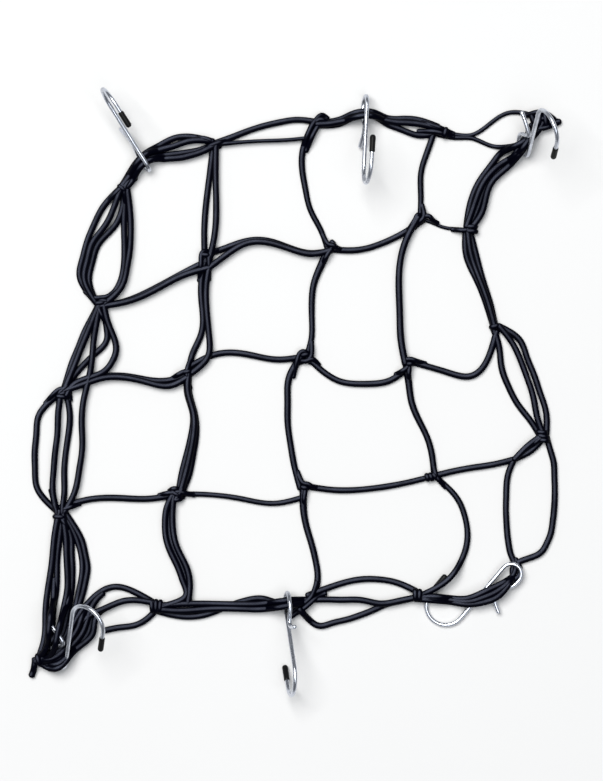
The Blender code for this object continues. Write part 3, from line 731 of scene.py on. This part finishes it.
class Skin:
    """Gathers round tubes along routes in millimetres, and makes one mesh of them."""

    def __init__(self):
        self.corners = []
        self.faces = []
        self.maps = []

    def ring(self, middle, side, up, radius, sides):
        for k in range(sides):
            angle = 2.0 * math.pi * k / sides
            offset = side * math.cos(angle) + up * math.sin(angle)
            self.corners.append((middle + offset * radius) * MM)

    def tube(self, route, radii, sides):
        """A closed tube. Its map runs once round for each unit across and as far for each unit along."""
        first = len(self.corners)
        side = None
        ahead = None
        along = [0.0]
        for i, point in enumerate(route):
            before, after = route[max(i - 1, 0)], route[min(i + 1, len(route) - 1)]
            turn = (after - before).normalized()
            if side is None:
                side = turn.orthogonal().normalized()
            else:
                side = ahead.rotation_difference(turn) @ side
                along.append(along[-1] + (point - route[i - 1]).length)
            side = (side - turn * side.dot(turn)).normalized()
            ahead = turn
            self.ring(point, side, turn.cross(side), radii[i], sides)
        scale = 1.0 / (2.0 * math.pi * max(radii))
        for i in range(len(route) - 1):
            low, high = along[i] * scale, along[i + 1] * scale
            for k in range(sides):
                after = (k + 1) % sides
                here = first + i * sides
                there = here + sides
                self.faces.append((here + k, here + after, there + after, there + k))
                left, right = k / sides, (k + 1) / sides
                self.maps += [(low, left), (low, right), (high, right), (high, left)]
        last = len(self.corners) - sides
        self.faces.append(tuple(range(first + sides - 1, first - 1, -1)))
        self.maps += [(along[0] * scale, k / sides) for k in range(sides - 1, -1, -1)]
        self.faces.append(tuple(range(last, last + sides)))
        self.maps += [(along[-1] * scale, k / sides) for k in range(sides)]

    def loop(self, route, side, radius, sides):
        """A closed ring of tube along a flat route that is wound about a direction."""
        first = len(self.corners)
        count = len(route)
        reach = [0.0]
        for i, point in enumerate(route):
            ahead, behind = route[(i + 1) % count], route[i - 1]
            self.ring(point, side, (ahead - behind).normalized().cross(side), radius, sides)
            reach.append(reach[-1] + (ahead - point).length)
        scale = 1.0 / (2.0 * math.pi * radius)
        for i in range(count):
            here, there = first + i * sides, first + (i + 1) % count * sides
            low, high = reach[i] * scale, reach[i + 1] * scale
            for k in range(sides):
                after = (k + 1) % sides
                self.faces.append((here + k, here + after, there + after, there + k))
                left, right = k / sides, (k + 1) / sides
                self.maps += [(low, left), (low, right), (high, right), (high, left)]

    def make(self, name):
        mesh = bpy.data.meshes.new(name)
        mesh.from_pydata(self.corners, [], self.faces)
        layer = mesh.uv_layers.new(name="run")
        layer.data.foreach_set("uv", [value for pair in self.maps for value in pair])
        mesh.shade_smooth()
        mesh.set_sharp_from_angle(angle=math.radians(SHARP_ANGLE))
        mesh.validate()
        item = bpy.data.objects.new(name, mesh)
        bpy.context.scene.collection.objects.link(item)
        return item


def rounded_ends(route, radius):
    """The route and radii of a tube, lengthened and drawn in at both ends."""
    ahead = (route[0] - route[1]).normalized()
    behind = (route[-1] - route[-2]).normalized()
    angles = [0.5 * math.pi * (i + FIRST_RING) / END_RINGS for i in range(END_RINGS)]
    shrink = [math.sin(angle) for angle in angles]
    reach = [math.cos(angle) for angle in angles]
    start = [route[0] + ahead * radius * END_REACH * far for far in reach]
    end = [route[-1] + behind * radius * END_REACH * far for far in reversed(reach)]
    radii = [radius * share for share in shrink] + [radius] * len(route)
    return start + route + end, radii + [radius * share for share in reversed(shrink)]


def uneven(count, dice):
    """Shares along a cord by which it swells and thins a little, as its braid is pulled."""
    phase = dice.uniform(0.0, SWELL_PHASE)
    pace = dice.uniform(*SWELL_PACES)
    waves = [math.sin(phase + pace * i) * math.sin(0.37 * phase + 0.11 * i) for i in range(count)]
    return [1.0 + SWELL_AMOUNT * wave for wave in waves]


def crown(name):
    """How far the strands on top of a knot lie above its lowest ones."""
    doubled = any(row[2] and name in row[:2] for row in CORDS)
    return DOUBLE_CROWN if doubled else PLAIN_CROWN


def stray_route(row):
    """A loose strand over a bundle, and over any wires under it."""
    _, layer, limit, spots = row
    wires = low_wires(limit)
    route = spline_through([Vector((x, y, 0.0)) for x, y in spots], CORD_STEP)
    for i, point in enumerate(route):
        settle = smooth_step(STRAY_CLIMB * min(i, len(route) - 1 - i) / (len(route) - 1))
        point.z = CORD_SEAT + max(layer * LAYER_RISE * settle, ride_height(point.x, point.y, wires))
    return route


def band_route(name, lift, radius, band):
    """The closed strand wound round a knot, and the direction that it is wound about."""
    x, y, heading, half = band
    top = CORD_SEAT + crown(name) + BAND_SLACK
    place = place_of(name) + Vector((x, y, lift + 0.5 * (top + radius)))
    turn = Matrix.Rotation(math.radians(heading), 3, "Z")
    across = turn @ Vector((0.0, half - radius, 0.0))
    up = Vector((0.0, 0.0, 0.5 * (top - radius)))
    steps = math.ceil(math.pi * (half + top) / WRAP_STEP / BAND_STEP_SHARE)
    route = []
    for i in range(steps):
        angle = 2.0 * math.pi * i / steps
        turned = (math.cos(angle), math.sin(angle))
        wide, high = (math.copysign(abs(part) ** BAND_POWER, part) for part in turned)
        route.append(place + across * wide + up * high)
    return route, turn @ Vector((1.0, 0.0, 0.0))


def over_route(name, lift, radius, spots):
    """A strand that climbs over a knot and sinks into the cords on both sides of it."""
    points = [place_of(name) + Vector((x, y, 0.0)) for x, y in spots]
    route = spline_through(points, WRAP_STEP)
    top = CORD_SEAT + crown(name)
    for i, point in enumerate(route):
        climb = smooth_step(OVER_CLIMB * min(i, len(route) - 1 - i) / (len(route) - 1))
        point.z = lift + CORD_SEAT + (top - CORD_SEAT) * climb
    return route


def linked(item, slot, material, *nodes):
    """Fixes a finished piece to the net's body, in place of the plain solids of the same name."""
    item.data.materials.clear()
    item.data.materials.append(material)
    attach(item, BODY)
    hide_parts(*nodes)


# ---------------------------------------------------------------- finishes


class Field:
    """A socket of a shader, with arithmetic that adds Math nodes."""

    def __init__(self, tree, socket):
        self.tree = tree
        self.socket = socket

    def maths(self, operation, *values):
        node = self.tree.nodes.new("ShaderNodeMath")
        node.operation = operation
        for socket, value in zip(node.inputs, values):
            if isinstance(value, Field):
                self.tree.links.new(value.socket, socket)
            else:
                socket.default_value = value
        return Field(self.tree, node.outputs[0])

    def __add__(self, other):
        return self.maths("ADD", self, other)

    def __radd__(self, other):
        return self.maths("ADD", other, self)

    def __sub__(self, other):
        return self.maths("SUBTRACT", self, other)

    def __rsub__(self, other):
        return self.maths("SUBTRACT", other, self)

    def __mul__(self, other):
        return self.maths("MULTIPLY", self, other)

    def __rmul__(self, other):
        return self.maths("MULTIPLY", other, self)

    def __abs__(self):
        return self.maths("ABSOLUTE", self)

    def sine(self):
        return self.maths("SINE", self)

    def power(self, other):
        return self.maths("POWER", self, other)

    def clamped(self):
        node = self.tree.nodes.new("ShaderNodeClamp")
        self.tree.links.new(self.socket, node.inputs["Value"])
        return Field(self.tree, node.outputs[0])

    def between(self, low, high):
        """0 below low, 1 above high and smooth between."""
        node = self.tree.nodes.new("ShaderNodeMapRange")
        node.interpolation_type = "SMOOTHSTEP"
        self.tree.links.new(self.socket, node.inputs["Value"])
        node.inputs["From Min"].default_value = low
        node.inputs["From Max"].default_value = high
        return Field(self.tree, node.outputs[0])


class Finish:
    """A material and what its nodes are made with."""

    def __init__(self, name):
        self.material = bpy.data.materials.new(name)
        self.material.use_nodes = True
        self.tree = self.material.node_tree
        self.shader = self.tree.nodes["Principled BSDF"]

    def node(self, kind, settings=None, output=0, **values):
        """A node of a kind, with its settings and the values or links of its sockets."""
        node = self.tree.nodes.new(kind)
        for key, value in (settings or {}).items():
            setattr(node, key, value)
        for key, value in values.items():
            socket = node.inputs[key.replace("_", " ")]
            if isinstance(value, Field):
                self.tree.links.new(value.socket, socket)
            else:
                socket.default_value = value
        return Field(self.tree, node.outputs[output])

    def mixed(self, first, second, share):
        """Two colours mixed by a share."""
        node = self.tree.nodes.new("ShaderNodeMix")
        node.data_type = "RGBA"
        for socket, value in ((node.inputs[0], share), (node.inputs[6], first), (node.inputs[7], second)):
            if isinstance(value, Field):
                self.tree.links.new(value.socket, socket)
            elif socket.type == "RGBA":
                socket.default_value = (*value, 1.0)
            else:
                socket.default_value = value
        return Field(self.tree, node.outputs[2])

    def vector(self, operation, first, second, output=0):
        """Vector arithmetic on a link and a fixed vector."""
        node = self.tree.nodes.new("ShaderNodeVectorMath")
        node.operation = operation
        self.tree.links.new(first.socket, node.inputs[0])
        node.inputs[1].default_value = second
        return Field(self.tree, node.outputs[output])

    def parts(self, vector):
        """The first two numbers of a vector."""
        node = self.tree.nodes.new("ShaderNodeSeparateXYZ")
        self.tree.links.new(vector.socket, node.inputs[0])
        return Field(self.tree, node.outputs[0]), Field(self.tree, node.outputs[1])

    def place(self):
        """The spot on the object, the same in every view."""
        return self.node("ShaderNodeTexCoord", output="Object")

    def noise(self, where, scale, detail=3.0, roughness=0.5):
        return self.node(
            "ShaderNodeTexNoise", output="Fac", Vector=where, Scale=scale, Detail=detail, Roughness=roughness
        )

    def bump(self, height, distance, strength=1.0):
        return self.node("ShaderNodeBump", Height=height, Distance=distance, Strength=strength)

    def set(self, **values):
        """Links or sets the shader's own sockets."""
        for key, value in values.items():
            socket = self.shader.inputs[key.replace("_", " ")]
            if isinstance(value, Field):
                self.tree.links.new(value.socket, socket)
            else:
                socket.default_value = value


def braided_cover(sizes):
    """Black braided elastic: crossing yarns, and a painted highlight on the side towards the key light,
    broken into patches and lengthwise streaks.
    """
    finish = Finish("braided_cover")
    run = finish.node("ShaderNodeUVMap", {"uv_map": "run"})
    along, around = finish.parts(run)
    yarns = 8.0
    lean = 7.0
    one = abs(((around * yarns + along * lean) * math.pi).sine())
    other = abs(((around * yarns - along * lean) * math.pi).sine())
    braid = (one * other).power(0.6)
    streak = finish.noise(finish.vector("MULTIPLY", run, (0.35, 9.0, 1.0)), 1.0, 2.0)
    where = finish.place()
    normal = finish.node("ShaderNodeTexCoord", output="Normal")
    # Painted highlight: the side of each cord that faces the key light is lightened towards the highlight
    # colour
    painted_highlight_mask = finish.vector("DOT_PRODUCT", normal, PAINTED_HIGHLIGHT_SIDE, output="Value").between(0.84, 1.0)
    lie = finish.noise(where, 60.0, 2.0)
    highlight_mottle = finish.noise(where, 420.0, 4.0, 0.65)
    fuzz = finish.noise(where, 5200.0, 2.0, 0.7)
    # The painted highlight is broken into patches and lengthwise streaks by noise, and is stronger on the
    # yarn crowns
    painted_highlight = painted_highlight_mask * (lie * 0.9 + highlight_mottle * 0.8 + streak * 0.7 - 0.46) * (braid * 0.5 + 0.5)
    finish.set(
        Base_Color=finish.mixed(tuple(sizes.colour), tuple(sizes.wear_and_highlight), painted_highlight.clamped()),
        Roughness=0.5 - braid * 0.1 + fuzz * 0.12,
        Specular_IOR_Level=0.02,
        Normal=finish.bump(braid + fuzz * 0.35, 0.0001, 0.8),
    )
    return finish.material


def bright_plating(sizes):
    """Zinc-plated wire: bright, with a fine grain, dull patches and small dark specks."""
    finish = Finish("bright_plating")
    where = finish.place()
    patch = finish.noise(where, 130.0, 4.0, 0.6)
    fine = finish.noise(where, 1700.0, 3.0, 0.6)
    speck = finish.noise(where, 900.0, 2.0, 0.5).between(0.66, 0.74)
    dull = patch.between(0.42, 0.68)
    bright = tuple(sizes.plating)
    grey = tuple(0.62 * value for value in bright)
    dark = tuple(0.32 * value for value in bright)
    colour = finish.mixed(finish.mixed(bright, grey, dull * 0.7), dark, speck * 0.5)
    finish.set(
        Base_Color=colour,
        Metallic=1.0,
        Roughness=0.2 + dull * 0.14 + fine * 0.1 + speck * 0.15,
        Normal=finish.bump(fine + patch * 0.6, 0.00006, 0.6),
    )
    return finish.material


def dipped_black(sizes):
    """Black dipped plastic: smooth, a little wavy, scuffed grey in small spots."""
    finish = Finish("dipped_black")
    where = finish.place()
    wave = finish.noise(where, 260.0, 2.0)
    scuff = finish.noise(where, 1400.0, 4.0, 0.7).between(0.56, 0.72)
    wear_and_highlight = tuple(value + 0.008 for value in sizes.dip)
    finish.set(
        Base_Color=finish.mixed(tuple(sizes.dip), wear_and_highlight, scuff * 0.6),
        Roughness=0.38 + wave * 0.12 + scuff * 0.2,
        Specular_IOR_Level=0.12,
        Coat_Weight=0.03,
        Coat_Roughness=0.25,
        Normal=finish.bump(wave + scuff * 0.3, 0.00012, 0.6),
    )
    return finish.material


def plain_floor(colour):
    """Pale matt board, with the faintest mottle."""
    finish = Finish("plain_floor")
    mottle = finish.noise(finish.place(), 9.0, 3.0)
    finish.set(
        Base_Color=finish.mixed(tuple(colour), tuple(value * 0.985 for value in colour), mottle),
        Roughness=0.85,
    )
    return finish.material


# ---------------------------------------------------------------- operators


class CARGONET_OT_cords(bpy.types.Operator):
    """Lay the elastic cords, strand by strand, from knot to knot"""

    bl_idname = "cargonet.cords"
    bl_label = "Cords"

    def execute(self, context):
        sizes = context.scene.cargo_net
        dice = random.Random(7)
        radius = 0.5 * sizes.strand / MM
        skin = Skin()
        for ends, route in cord_routes():
            route, radii = rounded_ends(route, radius)
            wander = uneven(len(radii), dice)
            shares = PULLED.get(ends, UNPULLED)
            for i, swell in enumerate(wander):
                far = i / (len(radii) - 1)
                pulled = natural_spline(shares, far)
                radii[i] *= swell * pulled
                route[i].z += radius * (pulled - 1.0)
            skin.tube(route, radii, CORD_SIDES)
        for row in STRAYS:
            route, radii = rounded_ends(stray_route(row), radius)
            skin.tube(route, [thick * row[0] for thick in radii], CORD_SIDES)
        linked(skin.make("net_cords"), "elastic_cord", braided_cover(sizes), "net")
        return {"FINISHED"}


class CARGONET_OT_knots(bpy.types.Operator):
    """Wind the cords round each knot and cross them over its top"""

    bl_idname = "cargonet.knots"
    bl_label = "Knots"

    def execute(self, context):
        sizes = context.scene.cargo_net
        dice = random.Random(11)
        radius = 0.5 * sizes.wrap / MM
        wires = low_wires()
        skin = Skin()
        for name in KNOTS:
            lift = knot_lift(name, wires)
            for band in BANDS.get(name, ()):
                route, about = band_route(name, lift, radius, band)
                skin.loop(route, about, radius, CORD_SIDES)
            for spots in OVERS.get(name, ()):
                route, radii = rounded_ends(over_route(name, lift, radius, spots), radius)
                wander = uneven(len(radii), dice)
                skin.tube(route, [thick * share for thick, share in zip(radii, wander)], CORD_SIDES)
        linked(skin.make("net_knots"), "elastic_cord", bpy.data.materials["braided_cover"], "net")
        return {"FINISHED"}


class CARGONET_OT_hooks(bpy.types.Operator):
    """Bend the six wire hooks"""

    bl_idname = "cargonet.hooks"
    bl_label = "Hooks"

    def execute(self, context):
        sizes = context.scene.cargo_hooks
        plating = bright_plating(sizes)
        radius = 0.5 * sizes.wire / MM
        for name, row in HOOKS.items():
            place = hook_frame(row)
            points = hook_wire()
            mouth = spline_through(points[: len(EYE_MOUTH) + 1], WIRE_STEP)
            line = even_steps(mouth[:-1] + points[len(EYE_MOUTH):], WIRE_STEP)
            route = [place @ point for point in line]
            route, radii = rounded_ends(route, radius)
            skin = Skin()
            skin.tube(route, radii, WIRE_SIDES)
            linked(skin.make(name + "_wire"), "zinc_wire", plating, name)
        return {"FINISHED"}


class CARGONET_OT_tips(bpy.types.Operator):
    """Dip the open ends of the hooks"""

    bl_idname = "cargonet.tips"
    bl_label = "Dipped tips"

    def execute(self, context):
        sizes = context.scene.cargo_hooks
        coat = dipped_black(sizes)
        radius = 0.5 * sizes.tip / MM
        bare = 0.5 * sizes.wire / MM
        for name, row in HOOKS.items():
            place = hook_frame(row)
            points = hook_wire()
            end = points[-1]
            ahead = (points[-1] - points[-2]).normalized()
            # The tip's lip and body, then its rounded end: how far along, and the radius there
            shape = (
                (-TIP_LENGTH + 0.9, bare + 0.03), (-TIP_LENGTH + 1.0, bare + 0.2),
                (-TIP_LENGTH + 1.3, radius - 0.16), (-TIP_LENGTH + 1.9, radius - 0.04),
                (-TIP_LENGTH + 3.0, radius - 0.1), (-4.0, radius - 0.05), (-1.4, radius),
                (-0.5, radius * 0.97), (0.1, radius * 0.86), (0.55, radius * 0.66),
                (0.82, radius * 0.38), (0.9, radius * 0.1),
            )
            route = [place @ (end + ahead * far) for far, _ in shape]
            skin = Skin()
            skin.tube(route, [thick for _, thick in shape], TIP_SIDES)
            linked(skin.make(name + "_dip"), "dipped_tip", coat, name + "_tip")
        return {"FINISHED"}


def soft_light(name, place, aim, size, power, colour=(1.0, 1.0, 1.0)):
    """A square soft light that faces a spot."""
    light = bpy.data.lights.new(name, "AREA")
    light.shape = "SQUARE"
    light.size = size
    light.energy = power
    light.color = colour
    item = bpy.data.objects.new(name, light)
    item.location = place
    item.rotation_euler = (Vector(aim) - Vector(place)).to_track_quat("-Z", "Y").to_euler()
    bpy.context.scene.collection.objects.link(item)


class CARGONET_OT_stage(bpy.types.Operator):
    """Set up the floor, the soft lights and the camera above the net"""

    bl_idname = "cargonet.stage"
    bl_label = "Stage"

    def execute(self, context):
        scene = context.scene
        sizes = scene.cargo_stage
        camera = bpy.data.cameras.new("camera")
        camera.sensor_fit = "VERTICAL"
        camera.sensor_height = SENSOR_HEIGHT
        camera.lens = camera.sensor_height * sizes.height / sizes.view_height
        camera.clip_end = 50.0
        eye = bpy.data.objects.new("camera", camera)
        eye.location = (*VIEW_MIDDLE, sizes.height)
        scene.collection.objects.link(eye)
        scene.camera = eye

        skin = bpy.data.meshes.new("floor")
        half = FLOOR_HALF
        corners = [(-half, -half, 0), (half, -half, 0), (half, half, 0), (-half, half, 0)]
        skin.from_pydata(corners, [], [(0, 1, 2, 3)])
        floor = bpy.data.objects.new("floor", skin)
        floor.data.materials.append(plain_floor(sizes.floor))
        floor.location.z = FLOOR_LEVEL
        scene.collection.objects.link(floor)

        soft_light("key", (-0.7, 0.9, 3.1), (0.0, 0.0, 0.0), 1.8, 155.0, (1.0, 0.995, 0.98))
        soft_light("fill", (0.6, -0.7, 3.1), (0.0, 0.0, 0.0), 1.8, 40.0, (0.93, 0.96, 1.0))
        world = bpy.data.worlds.new("studio")
        world.use_nodes = True
        world.node_tree.nodes["Background"].inputs["Color"].default_value = (0.9, 0.94, 1.0, 1.0)
        world.node_tree.nodes["Background"].inputs["Strength"].default_value = 0.16
        scene.world = world
        scene.view_settings.view_transform = "Standard"
        return {"FINISHED"}


class CARGONET_PT_panel(bpy.types.Panel):
    """Lists the steps of the net"""

    bl_label = "Cargo Net"
    bl_idname = "CARGONET_PT_panel"
    bl_space_type = "VIEW_3D"
    bl_region_type = "UI"
    bl_category = "Cargo Net"

    def draw(self, context):
        scene = context.scene
        for group in (scene.cargo_stage, scene.cargo_net, scene.cargo_hooks):
            box = self.layout.box()
            for key in group.__annotations__:
                box.prop(group, key)
        for step in STEPS:
            self.layout.operator(step.bl_idname)


GROUPS = {"cargo_net": NetSizes, "cargo_hooks": HookSizes, "cargo_stage": StageSizes}
STEPS = (CARGONET_OT_stage, CARGONET_OT_cords, CARGONET_OT_knots, CARGONET_OT_hooks, CARGONET_OT_tips)


def register():
    for group in GROUPS.values():
        bpy.utils.register_class(group)
    for step in (*STEPS, CARGONET_PT_panel):
        bpy.utils.register_class(step)
    for name, group in GROUPS.items():
        setattr(bpy.types.Scene, name, bpy.props.PointerProperty(type=group))


def unregister():
    for name in GROUPS:
        delattr(bpy.types.Scene, name)
    for step in reversed((*GROUPS.values(), *STEPS, CARGONET_PT_panel)):
        bpy.utils.unregister_class(step)


def main():
    register()
    bpy.ops.cargonet.stage()
    bpy.ops.cargonet.cords()
    bpy.ops.cargonet.knots()
    bpy.ops.cargonet.hooks()
    bpy.ops.cargonet.tips()


if __name__ == "__main__":
    main()
